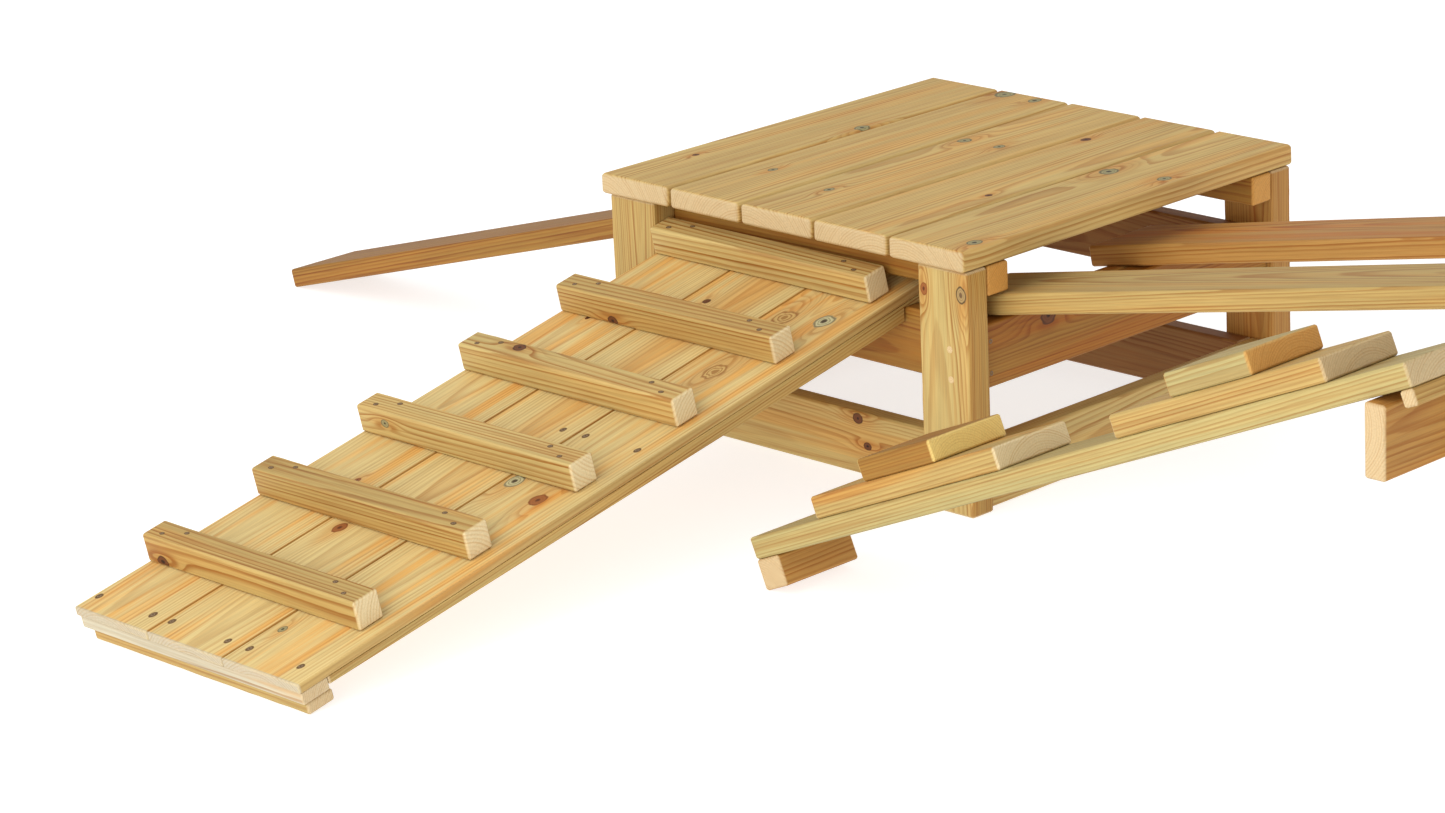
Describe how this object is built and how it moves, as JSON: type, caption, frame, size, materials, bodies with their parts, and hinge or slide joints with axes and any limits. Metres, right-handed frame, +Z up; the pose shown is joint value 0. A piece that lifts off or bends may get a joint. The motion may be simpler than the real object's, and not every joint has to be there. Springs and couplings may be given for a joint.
{
  "type": "climbing platform",
  "caption": "Low softwood play platform with a cleated ramp, a balance plank, a plank bridge to a trestle and a stepped plank hooked over its rails.",
  "frame": {"origin": "on the ground, in the middle of the footprint", "axes": "+Z up, +X from the balance plank along the bridge to the trestle, +Y from the ramp's foot towards the back of the deck"},
  "size_m": [2.8418, 1.8566, 0.54],
  "materials": {
    "deck": "planed pressure-treated softwood",
    "post": "planed pressure-treated softwood",
    "bearer": "planed pressure-treated softwood",
    "rail": "planed pressure-treated softwood",
    "ramp": "planed pressure-treated softwood",
    "cleat": "planed pressure-treated softwood",
    "balance": "planed pressure-treated softwood",
    "bridge": "planed pressure-treated softwood",
    "hump": "planed pressure-treated softwood",
    "screw": "dull brown coating"
  },
  "bodies": {
    "platform": {"deck_plank_1": "deck", "deck_plank_2": "deck", "deck_plank_3": "deck", "deck_plank_4": "deck", "deck_plank_5": "deck", "deck_bearer_front": "bearer", "deck_bearer_back": "bearer", "post_front_left": "post", "post_front_right": "post", "post_back_left": "post", "post_back_right": "post", "apron_front": "rail", "apron_back": "rail", "apron_left": "rail", "apron_right": "rail", "low_rail_front": "rail", "low_rail_back": "rail", "low_rail_left": "rail", "low_rail_right": "rail", "bridge_plank_near": "bridge", "bridge_plank_far": "bridge", "bridge_hook_batten": "bearer", "bridge_end_batten": "bearer", "trestle_post_near": "post", "trestle_post_far": "post", "trestle_crossbar": "rail", "trestle_low_rail": "rail"},
    "ramp": {"ramp_board_1": "ramp", "ramp_board_2": "ramp", "ramp_board_3": "ramp", "ramp_cleat_1": "cleat", "ramp_cleat_2": "cleat", "ramp_cleat_3": "cleat", "ramp_cleat_4": "cleat", "ramp_cleat_5": "cleat", "ramp_cleat_6": "cleat", "ramp_stringer_left": "cleat", "ramp_stringer_right": "cleat", "ramp_foot_upper": "ramp", "ramp_foot_lower": "rail", "ramp_middle_batten": "ramp", "ramp_hook_batten": "ramp"},
    "balance_board": {"balance_plank": "balance", "balance_hook_batten": "balance"},
    "stepped_board": {"stepped_plank": "bridge", "stepped_foot_batten": "cleat", "hump_1_board": "hump", "hump_1_block": "hump", "hump_2_board": "hump", "hump_2_block": "hump", "stepped_hook_batten": "cleat"}
  },
  "joints": [
    {"name": "ramp_lift", "type": "hinge", "parent": "platform", "child": "ramp", "pos_m": [-0.0759, 0.2676, 0.279], "axis": [-1, 0, 0], "range_deg": [0, 10]},
    {"name": "balance_lift", "type": "hinge", "parent": "platform", "child": "balance_board", "pos_m": [-0.3994, 0.4408, 0.279], "axis": [0, 1, 0], "range_deg": [0, 10]},
    {"name": "stepped_lift", "type": "hinge", "parent": "platform", "child": "stepped_board", "pos_m": [1.3436, -0.1342, 0.481], "axis": [0, 1, 0], "range_deg": [0, 8]}
  ]
}
